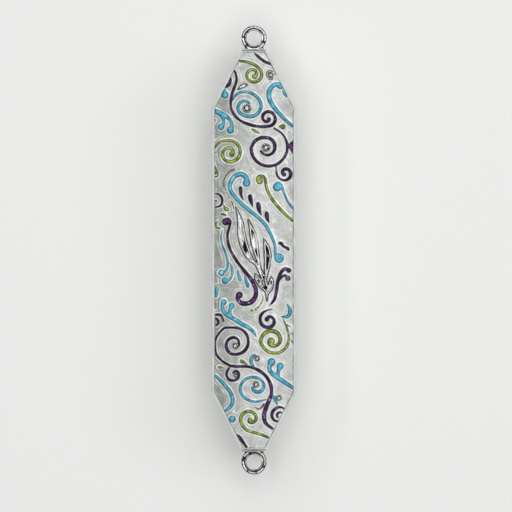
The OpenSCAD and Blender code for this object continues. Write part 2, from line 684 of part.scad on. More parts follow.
module silver_beads() {
    color(silver)
        for (i = [0:bead_count - 1])
            let (a = 108 + 100 * i / (bead_count - 1))
            dome(bead_arc[0] + bead_arc[2] * cos(a), bead_arc[1] + bead_arc[2] * sin(a), bead_arc_r);
}

module silver_tendrils() {
    color(silver) inlay(SILVER_STROKES);
}

stone_seat = 0.25;

// A low cup with a rim around each stone
module stone_settings() {
    color(silver)
        for (s = STONES)
            standing(s[0], s[1], ground_h)
                difference() {
                    cylinder(r = s[2], h = 0.6);
                    translate([0, 0, stone_seat]) cylinder(r = s[2] * 0.8, h = 1);
                }
}

// Eight-sided stones with a flat table, each seated in its cup
module crystals() {
    color([0.93, 0.96, 0.98])
        for (s = STONES)
            standing(s[0], s[1], ground_h + stone_seat) {
                cylinder(r = s[2] * 0.78, h = 0.2, $fn = 8);
                translate([0, 0, 0.2]) cylinder(r1 = s[2] * 0.78, r2 = s[2] * 0.45, h = 0.35, $fn = 8);
            }
}

case_shell();
enamel_ground();
top_eyelet();
bottom_eyelet();
back_cover();
parchment_scroll();
scroll_film();
scroll_thread();
purple_top_vine();
purple_stone_spiral();
purple_side_curls();
purple_drops();
purple_long_scroll();
purple_sprig();
purple_hook();
purple_lower_vine();
purple_lower_curls();
turquoise_top_spiral();
turquoise_top_stems();
turquoise_side_sprig();
turquoise_long_scroll();
turquoise_fork();
turquoise_drops();
turquoise_branch();
turquoise_lower_fork();
turquoise_bottom_spiral();
turquoise_bottom_stems();
green_top_spiral();
green_side_spiral();
green_sprout();
green_leaves();
green_lower_spiral();
green_bottom_spiral();
green_beads();
silver_leaf_sprig();
silver_beads();
silver_tendrils();
stone_settings();
crystals();
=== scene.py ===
import math
import random

import bmesh
import bpy
import numpy as np
from mathutils import Matrix, Vector, kdtree, noise
from mathutils.geometry import delaunay_2d_cdt


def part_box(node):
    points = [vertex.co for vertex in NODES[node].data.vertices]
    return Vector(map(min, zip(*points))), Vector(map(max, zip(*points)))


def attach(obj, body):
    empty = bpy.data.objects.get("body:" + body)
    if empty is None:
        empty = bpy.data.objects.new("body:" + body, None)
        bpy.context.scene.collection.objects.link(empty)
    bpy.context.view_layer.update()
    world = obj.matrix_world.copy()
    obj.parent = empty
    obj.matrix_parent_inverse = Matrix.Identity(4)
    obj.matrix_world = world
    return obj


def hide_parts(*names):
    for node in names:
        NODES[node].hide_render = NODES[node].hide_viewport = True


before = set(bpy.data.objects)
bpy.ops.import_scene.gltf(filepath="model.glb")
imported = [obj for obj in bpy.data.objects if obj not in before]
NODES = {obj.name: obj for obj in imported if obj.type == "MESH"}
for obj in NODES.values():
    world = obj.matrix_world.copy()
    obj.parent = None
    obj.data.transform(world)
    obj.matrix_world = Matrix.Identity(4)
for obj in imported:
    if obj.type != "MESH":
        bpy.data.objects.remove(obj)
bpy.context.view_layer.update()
random.seed(7)

MM = 0.001
PURPLE = sorted(n for n in NODES if n.startswith("purple"))
TURQUOISE = sorted(n for n in NODES if n.startswith("turquoise"))
GREEN = sorted(n for n in NODES if n.startswith("green") and n != "green_beads")
GROUND_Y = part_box("enamel_ground")[0].y


# ---------- camera, light and backdrop ----------

# Width of the view at the enamel face, where its middle lies, and how far off the camera stands
VIEW_WIDTH = 0.1451
VIEW_X = 0.00057
VIEW_Z = -0.0017
CAMERA_DISTANCE = 1.4
# Gap between the case's back and the wall behind it, and half the wall's width
WALL_GAP = 5 * MM
WALL_HALF = 0.4


def make_camera():
    """A long lens straight in front of the face."""
    data = bpy.data.cameras.new("camera")
    data.sensor_width = 36
    data.lens = data.sensor_width * CAMERA_DISTANCE / VIEW_WIDTH
    data.clip_start = 0.01
    cam = bpy.data.objects.new("camera", data)
    cam.location = (VIEW_X, GROUND_Y - CAMERA_DISTANCE, VIEW_Z)
    cam.rotation_euler = (math.pi / 2, 0, 0)
    bpy.context.scene.collection.objects.link(cam)
    bpy.context.scene.camera = cam


def softbox(name, place, size, power):
    """An area light that faces the middle of the case."""
    data = bpy.data.lights.new(name, "AREA")
    data.shape = "RECTANGLE"
    data.size, data.size_y = size
    data.energy = power
    lamp = bpy.data.objects.new(name, data)
    lamp.location = place
    lamp.rotation_euler = (-Vector(place)).to_track_quat("-Z", "Y").to_euler()
    bpy.context.scene.collection.objects.link(lamp)


def make_world():
    """A pale studio. Polished metal mirrors its cloudy walls, which are dark to the left and right."""
    world = bpy.data.worlds.new("room")
    world.use_nodes = True
    tree = world.node_tree
    back = tree.nodes["Background"]
    place = tree.nodes.new("ShaderNodeTexCoord")
    waves = tree.nodes.new("ShaderNodeTexNoise")
    waves.inputs["Scale"].default_value = 2.4
    waves.inputs["Detail"].default_value = 1
    clouds = tree.nodes.new("ShaderNodeValToRGB")
    clouds.color_ramp.elements[0].position = 0.45
    clouds.color_ramp.elements[0].color = (0.04, 0.042, 0.041, 1)
    clouds.color_ramp.elements[1].position = 0.53
    clouds.color_ramp.elements[1].color = (0.95, 1.0, 0.98, 1)
    parts = tree.nodes.new("ShaderNodeSeparateXYZ")
    aside = tree.nodes.new("ShaderNodeMath")
    aside.operation = "ABSOLUTE"
    sides = tree.nodes.new("ShaderNodeValToRGB")
    sides.color_ramp.elements[0].position = 0.6
    sides.color_ramp.elements[0].color = (1, 1, 1, 1)
    sides.color_ramp.elements[1].position = 0.75
    sides.color_ramp.elements[1].color = (0.05, 0.05, 0.05, 1)
    room = tree.nodes.new("ShaderNodeMix")
    room.data_type = "RGBA"
    room.blend_type = "MULTIPLY"
    room.inputs[0].default_value = 1
    seen = tree.nodes.new("ShaderNodeBackground")
    seen.inputs["Color"].default_value = (0.8, 0.8, 0.79, 1)
    path = tree.nodes.new("ShaderNodeLightPath")
    choose = tree.nodes.new("ShaderNodeMixShader")
    out = tree.nodes["World Output"]
    tree.links.new(place.outputs["Generated"], waves.inputs["Vector"])
    tree.links.new(waves.outputs["Fac"], clouds.inputs["Fac"])
    tree.links.new(place.outputs["Generated"], parts.inputs[0])
    tree.links.new(parts.outputs["X"], aside.inputs[0])
    tree.links.new(aside.outputs[0], sides.inputs["Fac"])
    tree.links.new(clouds.outputs["Color"], room.inputs[6])
    tree.links.new(sides.outputs["Color"], room.inputs[7])
    tree.links.new(room.outputs[2], back.inputs["Color"])
    back.inputs["Strength"].default_value = 0.5
    tree.links.new(path.outputs["Is Camera Ray"], choose.inputs["Fac"])
    tree.links.new(back.outputs[0], choose.inputs[1])
    tree.links.new(seen.outputs[0], choose.inputs[2])
    tree.links.new(choose.outputs[0], out.inputs["Surface"])
    bpy.context.scene.world = world


def make_backdrop():
    """A pale sheet a little behind the case. It can't be seen from behind, and it blocks no light."""
    half = WALL_HALF
    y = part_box("case_shell")[1].y + WALL_GAP
    mesh = bpy.data.meshes.new("backdrop")
    corners = [(-half, y, -half), (half, y, -half), (half, y, half), (-half, y, half)]
    mesh.from_pydata(corners, [], [(0, 1, 2, 3)])
    sheet = bpy.data.objects.new("backdrop", mesh)
    bpy.context.scene.collection.objects.link(sheet)
    mat = bpy.data.materials.new("backdrop")
    mat.use_nodes = True
    tree = mat.node_tree
    tree.nodes.clear()
    paper = tree.nodes.new("ShaderNodeBsdfDiffuse")
    paper.inputs["Color"].default_value = (0.875, 0.875, 0.865, 1)
    clear = tree.nodes.new("ShaderNodeBsdfTransparent")
    side = tree.nodes.new("ShaderNodeNewGeometry")
    mix = tree.nodes.new("ShaderNodeMixShader")
    out = tree.nodes.new("ShaderNodeOutputMaterial")
    tree.links.new(side.outputs["Backfacing"], mix.inputs["Fac"])
    tree.links.new(paper.outputs[0], mix.inputs[1])
    tree.links.new(clear.outputs[0], mix.inputs[2])
    tree.links.new(mix.outputs[0], out.inputs["Surface"])
    mesh.materials.append(mat)
    sheet.visible_shadow = False


def make_lights():
    """Key and side lights from the right, and a ring of fills around the camera's line."""
    softbox("key_light", (0.75, -0.95, 0.28), (0.5, 0.7), 1.5)
    softbox("side_light", (1.5, -0.85, 0.2), (0.6, 0.9), 4.8)
    softbox("fill_left", (-0.5, -1.4, 0), (0.5, 1.7), 3.9)
    softbox("fill_right", (0.5, -1.4, 0), (0.5, 1.7), 4.0)
    softbox("fill_high", (0, -1.35, 0.75), (1.0, 0.4), 3.0)
    softbox("fill_low", (0, -1.35, -0.75), (1.0, 0.4), 2.8)
    softbox("left_strip", (-0.7, -0.7, 0.35), (0.1, 0.8), 1.1)
    softbox("top_light", (0.05, -0.5, 0.8), (0.7, 0.2), 0.9)
    softbox("rear_light", (0.35, 0.75, 0.35), (1.0, 1.0), 5)
    softbox("rear_fill", (-0.6, 0.6, -0.1), (0.7, 0.9), 2.4)


# ---------- materials ----------

class Shader:
    """A Principled material with short calls for the nodes that it uses."""

    def __init__(self, name, **values):
        self.mat = bpy.data.materials.new(name)
        self.mat.use_nodes = True
        self.tree = self.mat.node_tree
        self.bsdf = self.tree.nodes["Principled BSDF"]
        for key, value in values.items():
            self.bsdf.inputs[key.replace("_", " ")].default_value = value
        self.place = self.add("ShaderNodeTexCoord").outputs["Object"]

    def add(self, kind, **values):
        """A new node, with its inputs set by name."""
        node = self.tree.nodes.new(kind)
        for key, value in values.items():
            node.inputs[key.replace("_", " ")].default_value = value
        return node

    def link(self, a, b):
        self.tree.links.new(a, b)

    def stretched(self, scale):
        """The object's own coordinates, scaled along each axis."""
        node = self.add("ShaderNodeMapping", Scale=scale)
        self.link(self.place, node.inputs["Vector"])
        return node.outputs["Vector"]

    def noise(self, size, detail=3.0, roughness=0.5, distortion=0.0, vector=None):
        """Noise whose features are about size metres across."""
        node = self.add("ShaderNodeTexNoise", Scale=1 / size, Detail=detail, Roughness=roughness,
                        Distortion=distortion)
        self.link(vector or self.place, node.inputs["Vector"])
        return node.outputs["Fac"]

    def cells(self, size):
        """Rounded cells about size metres across."""
        node = self.add("ShaderNodeTexVoronoi", Scale=1 / size)
        self.link(self.place, node.inputs["Vector"])
        return node.outputs["Distance"]

    def attribute(self, name):
        """A number stored on the mesh by paint()."""
        node = self.add("ShaderNodeAttribute")
        node.attribute_name = name
        return node.outputs["Fac"]

    def ramp(self, value, stops):
        """Colours by position, as [(position, (r, g, b)), ...]."""
        node = self.add("ShaderNodeValToRGB")
        bar = node.color_ramp
        while len(bar.elements) < len(stops):
            bar.elements.new(0.5)
        for element, (position, colour) in zip(bar.elements, stops):
            element.position = position
            element.color = (*colour, 1)
        self.link(value, node.inputs["Fac"])
        return node.outputs["Color"]

    def scale(self, value, low, high, new_low, new_high):
        """The value, moved from one range to another and kept inside it."""
        node = self.add("ShaderNodeMapRange")
        for key, number in zip(("From Min", "From Max", "To Min", "To Max"), (low, high, new_low, new_high)):
            node.inputs[key].default_value = number
        self.link(value, node.inputs["Value"])
        return node.outputs["Result"]

    def mix(self, amount, first, second, kind="MIX"):
        """A blend of two colours. Each input is a number, a colour or a socket."""
        node = self.add("ShaderNodeMix")
        node.data_type = "RGBA"
        node.blend_type = kind
        for value, socket in ((amount, 0), (first, 6), (second, 7)):
            if isinstance(value, (int, float, tuple)):
                node.inputs[socket].default_value = value
            else:
                self.link(value, node.inputs[socket])
        return node.outputs[2]

    def bump(self, height, depth, strength=1.0, after=None):
        """A bumped normal, on top of another one if after is given."""
        node = self.add("ShaderNodeBump", Strength=strength, Distance=depth)
        self.link(height, node.inputs["Height"])
        if after:
            self.link(after, node.inputs["Normal"])
        return node.outputs["Normal"]

    def feed(self, **sockets):
        """Links sockets to the Principled inputs of those names, and returns the material."""
        for key, value in sockets.items():
            self.link(value, self.bsdf.inputs[key.replace("_", " ")])
        return self.mat


def pearl_enamel():
    """Mottled pearl grey under clear resin, with painted highlights beside the strands and a painted
    highlight line a little further out, painted shade darkening its left side, and painted shade in dark
    lines at the feet of the strands, around the purple and silver pieces and along the rim.
    """
    s = Shader("pearl_enamel", Roughness=0.3, Metallic=0.15, Coat_Weight=0.9, Coat_Roughness=0.06)
    clouds = s.noise(2.6 * MM, 4, 0.55, 0.6)
    grains = s.noise(0.5 * MM, 3, 0.6)
    swirl = s.noise(4.5 * MM, 2, 0.5, 1.6)
    base = s.ramp(clouds, [(0.3, (0.47, 0.475, 0.46)), (0.5, (0.58, 0.585, 0.57)), (0.7, (0.68, 0.68, 0.67))])
    base = s.mix(0.16, base, s.ramp(grains, [(0.35, (0.3, 0.31, 0.295)), (0.65, (0.78, 0.785, 0.775))]))
    base = s.mix(0.6, base, s.ramp(swirl, [(0.44, (0.93, 0.94, 0.93)), (0.47, (1.4, 1.4, 1.4)),
                                           (0.5, (0.95, 0.95, 0.95)), (0.56, (0.84, 0.86, 0.84)),
                                           (0.58, (1.3, 1.3, 1.3)), (0.6, (0.98, 0.98, 0.98))]), "MULTIPLY")
    # painted shade: the ground is darkened towards its left side and a little lightened right of the middle,
    # as the light falls across it
    across = s.add("ShaderNodeSeparateXYZ")
    s.link(s.place, across.inputs[0])
    shade = s.scale(across.outputs["X"], -11 * MM, 11 * MM, 0.0, 1.0)
    base = s.mix(1.0, base, s.ramp(shade, [(0.0, (0.44, 0.47, 0.43)), (0.4, (0.94, 0.95, 0.93)),
                                            (0.7, (1.14, 1.14, 1.14)), (1.0, (1.0, 1.0, 1.0))]), "MULTIPLY")
    # painted highlight: the resin beside each strand is mixed towards white, where its raised lip would
    # mirror the lights
    painted_lip_highlight = s.scale(s.attribute("lip_highlight_fade"), 0.25, 0.75, 0.0, 0.9)
    base = s.mix(painted_lip_highlight, base, (0.96, 0.97, 0.96, 1))
    # painted highlight: a second pale line on the ground a little out from each strand
    base = s.mix(s.scale(s.attribute("painted_highlight_line"), 0.1, 0.8, 0.0, 0.6), base, (0.96, 0.97, 0.96, 1))
    # painted shade: a dark line at the feet of the strands and along the rim
    painted_shade = s.scale(s.attribute("painted_shade"), 0.3, 1.0, 0.0, 0.75)
    base = s.mix(painted_shade, base, (0.03, 0.033, 0.03, 1))
    # painted shade: near-black lines on the ground around the purple strands and the silver pieces and along
    # the rim
    base = s.mix(s.scale(s.attribute("outline_shade"), 0.15, 0.75, 0.0, 0.95), base, (0.004, 0.002, 0.006, 1))
    normal = s.bump(grains, 0.05 * MM, 0.4, s.bump(swirl, 0.5 * MM, 0.35))
    return s.feed(Base_Color=base, Normal=normal)


def coloured_enamel(name, dark, middle, light, foot, gloss):
    """Glossy strands, darker at their feet and lighter along their crowns, partly as the enamel's own depth
    of colour and partly as painted shade and highlight, with painted glints on the crowns.
    """
    s = Shader(name, Roughness=0.45, Specular_IOR_Level=0.1, Coat_Weight=1.0,
               Coat_Roughness=0.05, Coat_IOR=gloss)
    crown = s.attribute("crown")
    patches = s.noise(1.4 * MM, 3, 0.6)
    specks = s.noise(0.3 * MM, 2, 0.5)
    # lighter along the crown and darker at the feet: partly the enamel's own depth of colour, partly painted
    # highlight and shade
    height = s.mix(0.5, crown, s.scale(patches, 0.34, 0.66, 0.0, 1.0))
    base = s.ramp(height, [(0.3, dark), (0.6, middle), (0.95, light)])
    base = s.mix(s.scale(specks, 0.52, 0.8, 0.0, 0.4), base, (*light, 1))
    # painted shade: the feet of the strands are darkened by the foot share
    base = s.mix(s.scale(crown, 0.05, 0.38, foot, 0.0), base, (*dark, 1))
    # painted highlight: pale glints on the crowns of the strands
    painted_glints = s.mix(0.5, crown, s.scale(s.noise(1.1 * MM, 1), 0.52, 0.74, 0.0, 1.0))
    glint_colour = tuple(0.4 + 0.6 * c for c in light)
    base = s.mix(s.scale(painted_glints, 0.74, 0.95, 0.0, 0.8), base, (*glint_colour, 1))
    normal = s.bump(s.noise(0.4 * MM, 2), 0.04 * MM, 0.6)
    return s.feed(Base_Color=base, Normal=normal)


def cast_metal(name, tint, rough, depth, edge=0.0):
    """Cast white metal with a soft grain, painted shade on the places marked hollow, and painted shade where
    a front edge turns away.
    """
    s = Shader(name, Metallic=1.0)
    clouds = s.noise(3.5 * MM, 4, 0.6)
    grain = s.noise(0.35 * MM, 3, 0.6)
    dull = tuple(0.82 * c for c in tint)
    base = s.ramp(clouds, [(0.3, dull), (0.65, tint)])
    normal = s.bump(grain, depth, 0.5, s.bump(s.noise(1.6 * MM, 2), depth * 3, 0.4))
    # painted shade and reflection: dark where the mesh marks it (the eyelets' groove, edges and patches)
    base = s.mix(s.scale(s.attribute("hollow"), 0.2, 0.7, 0.0, 0.97), base, (0.03, 0.03, 0.03, 1))
    # painted shade on the rounded edges between the front and the sides, chosen by which way the surface
    # faces
    if edge:
        facing = s.add("ShaderNodeSeparateXYZ")
        s.link(s.add("ShaderNodeNewGeometry").outputs["Normal"], facing.inputs[0])
        full = (edge, edge, edge)
        painted_edge_shade = s.ramp(s.scale(facing.outputs["Y"], -1.0, 0.0, 0.0, 1.0),
                        [(0.06, (0, 0, 0)), (0.2, full), (0.75, full), (0.95, (0, 0, 0))])
        base = s.mix(painted_edge_shade, base, (0.03, 0.03, 0.03, 1))
    return s.feed(Base_Color=base, Roughness=s.scale(clouds, 0.3, 0.7, rough + 0.12, rough), Normal=normal)


def bright_silver():
    """Bright hammered silver, with painted shade and dark reflections in its hollows and painted shade along
    its outlines.
    """
    s = Shader("bright_silver", Metallic=1.0)
    dents = s.cells(0.6 * MM)
    dark_reflection_streaks = s.noise(1.5 * MM, 4, 0.55, vector=s.stretched((1, 1, 0.35)))
    hollow = s.attribute("hollow")
    # painted shade and dark reflections: the hollow middles are streaked near-black
    base = s.mix(s.scale(hollow, 0.1, 0.8, 0.0, 1.0), (0.82, 0.82, 0.81, 1),
                 s.ramp(dark_reflection_streaks, [(0.49, (0.01, 0.01, 0.01)), (0.57, (0.8, 0.8, 0.79))]))
    # painted shade: dark along the outlines of the silver relief, over most of the stone cups and over the
    # silver beads
    base = s.mix(s.scale(s.attribute("painted_shade"), 0.2, 1.0, 0.0, 0.96), base, (0.01, 0.01, 0.01, 1))
    normal = s.bump(dents, 0.02 * MM, 0.2)
    return s.feed(Base_Color=base, Roughness=s.scale(hollow, 0, 1, 0.16, 0.3), Normal=normal)


def brushed_cover():
    """Sheet metal brushed lengthways."""
    s = Shader("brushed_cover", Metallic=1.0)
    lines = s.noise(0.25 * MM, 3, 0.6, vector=s.stretched((1, 1, 0.03)))
    base = s.ramp(lines, [(0.3, (0.42, 0.43, 0.42)), (0.7, (0.66, 0.67, 0.66))])
    return s.feed(Base_Color=base, Roughness=s.scale(lines, 0.3, 0.7, 0.42, 0.26),
                  Normal=s.bump(lines, 0.02 * MM, 0.5))


def parchment():
    """Cream parchment with fine fibres and faint blotches."""
    s = Shader("parchment", Roughness=0.75)
    fibres = s.noise(0.5 * MM, 5, 0.65, 0.5)
    blotches = s.noise(7 * MM, 3, 0.5)
    base = s.mix(0.5, s.ramp(fibres, [(0.3, (0.6, 0.5, 0.33)), (0.7, (0.82, 0.74, 0.56))]),
                 s.ramp(blotches, [(0.3, (0.58, 0.48, 0.3)), (0.7, (0.84, 0.77, 0.6))]))
    return s.feed(Base_Color=base, Normal=s.bump(fibres, 0.04 * MM, 0.5))


def clear_film():
    """Thin clear wrap with soft creases."""
    s = Shader("clear_film", Roughness=0.08, Alpha=0.22, IOR=1.45)
    creases = s.noise(3 * MM, 2, 0.5, 1.0)
    base = s.ramp(creases, [(0.3, (0.85, 0.9, 0.92)), (0.7, (1, 1, 1))])
    return s.feed(Base_Color=base, Normal=s.bump(creases, 0.2 * MM, 0.6))


def red_thread():
    """Twisted red thread."""
    s = Shader("red_thread", Roughness=0.8, Sheen_Weight=0.4)
    ply = s.noise(0.12 * MM, 2, 0.5)
    base = s.ramp(ply, [(0.35, (0.16, 0.015, 0.015)), (0.65, (0.42, 0.05, 0.05))])
    return s.feed(Base_Color=base, Normal=s.bump(ply, 0.05 * MM, 0.8))


def crystal():
    """A foil-backed cut stone, a little blue, with painted reflections: each facet is painted near-black,
    grey or white and the table white.
    """
    s = Shader("crystal", Roughness=0.06, Coat_Weight=1.0, Coat_Roughness=0.02)
    # painted reflections, one shade per facet
    base = s.ramp(s.attribute("facet_reflection"), [(0.0, (0.02, 0.022, 0.025)), (0.35, (0.35, 0.37, 0.4)),
                                         (0.5, (0.95, 0.97, 1.0)), (1.0, (1.0, 1.0, 1.0))])
    base = s.mix(s.scale(s.noise(0.6 * MM, 2), 0.55, 0.7, 0.0, 0.5), base, (0.5, 0.53, 0.56, 1))
    return s.feed(Base_Color=base, Metallic=s.scale(s.attribute("facet_reflection"), 0.6, 1.0, 0.9, 0.2))


# ---------- outlines taken from the CAD nodes ----------

def front_loops(node):
    """The outlines (x, z) of a node's foremost flat faces, as closed loops of points in metres."""
    mesh = NODES[node].data
    points = [tuple(round(c, 7) for c in v.co) for v in mesh.vertices]
    front = min(p[1] for p in points)
    count = {}
    for face in mesh.polygons:
        ring = [points[i] for i in face.vertices]
        if max(p[1] for p in ring) > front + 0.001 * MM:
            continue
        for a, b in zip(ring, ring[1:] + ring[:1]):
            key = frozenset((a, b))
            count[key] = count.get(key, 0) + 1
    follow = {}
    for key, times in count.items():
        if times == 1 and len(key) == 2:
            a, b = key
            follow.setdefault(a, []).append(b)
            follow.setdefault(b, []).append(a)
    loops = []
    while follow:
        start = next(iter(follow))
        loop = [start]
        here = start
        while follow.get(here):
            there = follow[here].pop()
            if here in follow.get(there, []):
                follow[there].remove(here)
            if not follow[here]:
                del follow[here]
            if there == start:
                break
            loop.append(there)
            here = there
        follow = {k: v for k, v in follow.items() if v}
        if len(loop) > 2:
            loops.append(np.array([(p[0], p[2]) for p in loop]))
    return loops


def resampled(loop, step):
    """Even points along a closed loop, with its facets rounded off."""
    closed = np.vstack([loop, loop[:1]])
    run = np.concatenate([[0], np.cumsum(np.hypot(*np.diff(closed, axis=0).T))])
    count = max(8, int(run[-1] / step))
    at = np.linspace(0, run[-1], count, endpoint=False)
    even = np.column_stack([np.interp(at, run, closed[:, 0]), np.interp(at, run, closed[:, 1])])
    for _ in range(2):
        even = 0.5 * even + 0.25 * (np.roll(even, 1, 0) + np.roll(even, -1, 0))
    return even


def segments(loops):
    """The start and end points of every side of the loops."""
    a = np.vstack(loops)
    b = np.vstack([np.roll(loop, -1, 0) for loop in loops])
    return a, b


def inside(points, loops):
    """Even-odd test of many points at once."""
    a, b = segments(loops)
    hit = np.zeros(len(points), bool)
    for p0, p1 in zip(a, b):
        if p0[1] == p1[1]:
            continue
        crosses = (p0[1] > points[:, 1]) != (p1[1] > points[:, 1])
        x = p0[0] + (points[:, 1] - p0[1]) * (p1[0] - p0[0]) / (p1[1] - p0[1])
        hit ^= crosses & (points[:, 0] < x)
    return hit


def edge_distance(points, loops):
    """Distance from each point to the nearest outline."""
    a, b = segments(loops)
    best = np.full(len(points), 1.0)
    for p0, p1 in zip(a, b):
        d = p1 - p0
        size = max(float(d @ d), 1e-18)
        t = np.clip(((points - p0) @ d) / size, 0, 1)
        best = np.minimum(best, np.hypot(*(points - (p0 + t[:, None] * d)).T))
    return best


def grid_inside(loops, step):
    """A staggered grid of points inside the loops, clear of their edges."""
    stack = np.vstack(loops)
    low, high = stack.min(0), stack.max(0)
    rows = []
    for i, z in enumerate(np.arange(low[1], high[1], step * 0.87)):
        shift = step / 2 if i % 2 else 0
        x = np.arange(low[0] + shift, high[0], step)
        rows.append(np.column_stack([x, np.full(len(x), z)]))
    points = np.vstack(rows)
    points = points[inside(points, loops)]
    return points[edge_distance(points, loops) > step * 0.45]


def sheet_mesh(loops, step):
    """Points and triangles that fill the loops. The outline points come first."""
    inner = grid_inside(loops, step)
    points = np.vstack(loops + [inner])
    edges = []
    start = 0
    for loop in loops:
        n = len(loop)
        edges += [(start + i, start + (i + 1) % n) for i in range(n)]
        start += n
    verts, _, faces, *_ = delaunay_2d_cdt([Vector(p) for p in points], edges, [], 1, 1e-9)
    verts = np.array([tuple(v) for v in verts])
    middle = np.array([verts[list(f)].mean(0) for f in faces])
    keep = inside(middle, loops)
    return verts, [f for f, k in zip(faces, keep) if k]


def mesh_object(name, verts, faces, material):
    """A smooth object from points and faces."""
    mesh = bpy.data.meshes.new(name)
    mesh.from_pydata([tuple(v) for v in verts], [], [tuple(f) for f in faces])
    mesh.update()
    obj = bpy.data.objects.new(name, mesh)
    bpy.context.scene.collection.objects.link(obj)
    mesh.materials.append(material)
    mesh.polygons.foreach_set("use_smooth", [True] * len(mesh.polygons))
    return obj


def paint(obj, name, values):
    """Stores one number per vertex for the materials."""
    layer = obj.data.attributes.new(name, "FLOAT", "POINT")
    layer.data.foreach_set("value", np.asarray(values, np.float32))


def turned_forward(obj):
    """Makes the faces of an open relief look towards the front."""
    bm = bmesh.new()
    bm.from_mesh(obj.data)
    total = sum(f.normal.y * f.calc_area() for f in bm.faces)
    if total > 0:
        bmesh.ops.reverse_faces(bm, faces=bm.faces)
    bm.to_mesh(obj.data)
    bm.free()


def wobble(points, size, amount, seed=0.0):
    """Smooth random numbers, one per (x, z) point."""
    return np.array([amount * noise.noise(Vector((p[0] / size, seed, p[1] / size))) for p in points])


# ---------- the enamel face ----------

# Mesh sizes on the strands and the ground, and on the silver; how far a piece's foot sinks in
STRAND_STEP = 0.14 * MM
SILVER_STEP = 0.08 * MM
SINK = 0.12 * MM
# The outline of every piece on the face, which the ground's edges and shades follow
outlines = {}


def softened(height, faces, fixed, rounds):
    """Averages the heights of neighbouring points, which rounds off the ridge of a strand."""
    pairs = np.array([(f[i - 1], f[i]) for f in faces for i in range(len(f))])
    count = np.bincount(pairs.ravel(), minlength=len(height))
    for _ in range(rounds):
        total = np.bincount(pairs[:, 0], height[pairs[:, 1]], len(height))
        total += np.bincount(pairs[:, 1], height[pairs[:, 0]], len(height))
        height = np.where(fixed, height, 0.4 * height + 0.6 * total / np.maximum(count, 1))
    return height


def strand(node, material):
    """A raised strand with a rounded crown, on the node's own outline."""
    loops = [resampled(loop, STRAND_STEP) for loop in front_loops(node)]
    outlines[node] = loops
    verts, faces = sheet_mesh(loops, STRAND_STEP)
    d = edge_distance(verts, loops)
    rise = softened(0.74 * MM * (1 - np.exp(-d / (0.22 * MM))), faces, d < 1e-7, 7)
    rise += wobble(verts, 1.1 * MM, 0.06 * MM, 3.0) * np.minimum(1, d / (0.2 * MM))
    y = GROUND_Y + SINK - rise - np.where(d > 1e-7, SINK * 0.9, 0)
    piece = mesh_object(node + "_enamel", np.column_stack([verts[:, 0], y, verts[:, 1]]), faces, material)
    turned_forward(piece)
    paint(piece, "crown", np.minimum(1, d / (0.42 * MM)))
    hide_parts(node)
    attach(piece, "case")


def nearest(points, names):
    """Distance from each point to the closest outline of the named nodes."""
    stack = np.vstack([loop for name in names for loop in outlines[name]])
    tree = kdtree.KDTree(len(stack))
    for i, p in enumerate(stack):
        tree.insert((p[0], 0, p[1]), i)
    tree.balance()
    return np.array([tree.find((p[0], 0, p[1]))[2] for p in points])


def face_ground(material):
    """The resin surface: wavy, and drawn up beside the strands and the rim."""
    loop = max(front_loops("enamel_ground"), key=len)
    right = loop[loop[:, 0] > 0]
    right = right[np.argsort(right[:, 1])]
    top = right[:, 1].max()
    columns = int(2 * right[:, 0].max() / STRAND_STEP)
    rows = int(2 * top / STRAND_STEP)
    u = np.linspace(-1, 1, columns)
    points = []
    for z in np.linspace(-top, top, rows):
        points.append(np.column_stack([u * np.interp(z, right[:, 1], right[:, 0]), np.full(columns, z)]))
    points = np.vstack(points)

    to_strand = nearest(points, list(outlines))
    to_dark = nearest(points, PURPLE)
    to_silver = nearest(points, [name for name in outlines if name.startswith("silver")])
    to_rim = edge_distance(points, [loop])

    lift = 0.13 * MM * np.exp(-to_strand / (0.25 * MM)) + 0.09 * MM * np.exp(-to_rim / (0.35 * MM))
    waves = wobble(points, 3.2 * MM, 0.12 * MM, 1.0) + wobble(points, 1.1 * MM, 0.05 * MM, 2.0)
    y = GROUND_Y + 0.06 * MM - lift - waves * np.minimum(1, to_rim / (0.6 * MM))
    faces = []
    for r in range(rows - 1):
        for c in range(columns - 1):
            i = r * columns + c
            faces.append((i, i + 1, i + columns + 1, i + columns))
    ground = mesh_object("pearl_ground", np.column_stack([points[:, 0], y, points[:, 1]]), faces, material)
    turned_forward(ground)
    # painted highlight beside the strands, fading with distance, for the pearl enamel
    paint(ground, "lip_highlight_fade", np.exp(-to_strand / (0.35 * MM)) * (0.85 + wobble(points, 2.4 * MM, 0.6, 11.0)))
    # a pale line about a millimetre out from each strand, a painted highlight
    patchy = 0.5 + wobble(points, 2.5 * MM, 1.1, 7.0)
    paint(ground, "painted_highlight_line", patchy * np.exp(-((to_strand - 0.95 * MM) / (0.16 * MM)) ** 2))
    # random unevenness of the painted shade along the rim
    shade_unevenness = 0.75 + wobble(points, 2 * MM, 0.8, 4.0)
    # painted shade: a dark line at the feet of every strand and along the rim
    paint(ground, "painted_shade", np.maximum(np.exp(-(to_strand / (0.12 * MM)) ** 2),
                                    shade_unevenness * np.exp(-(to_rim / (0.17 * MM)) ** 2)))
    # painted shade: near-black lines around the purple strands and the silver pieces and along the rim,
    # unevenly strong
    uneven = 0.8 + wobble(points, 2.2 * MM, 0.7, 9.0)
    outline_shade = np.maximum(np.exp(-(to_dark / (0.14 * MM)) ** 2), 1.15 * np.exp(-(to_silver / (0.22 * MM)) ** 2))
    paint(ground, "outline_shade", np.maximum(uneven * outline_shade, 0.95 * shade_unevenness * np.exp(-(to_rim / (0.22 * MM)) ** 2)))
    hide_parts("enamel_ground")
    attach(ground, "case")


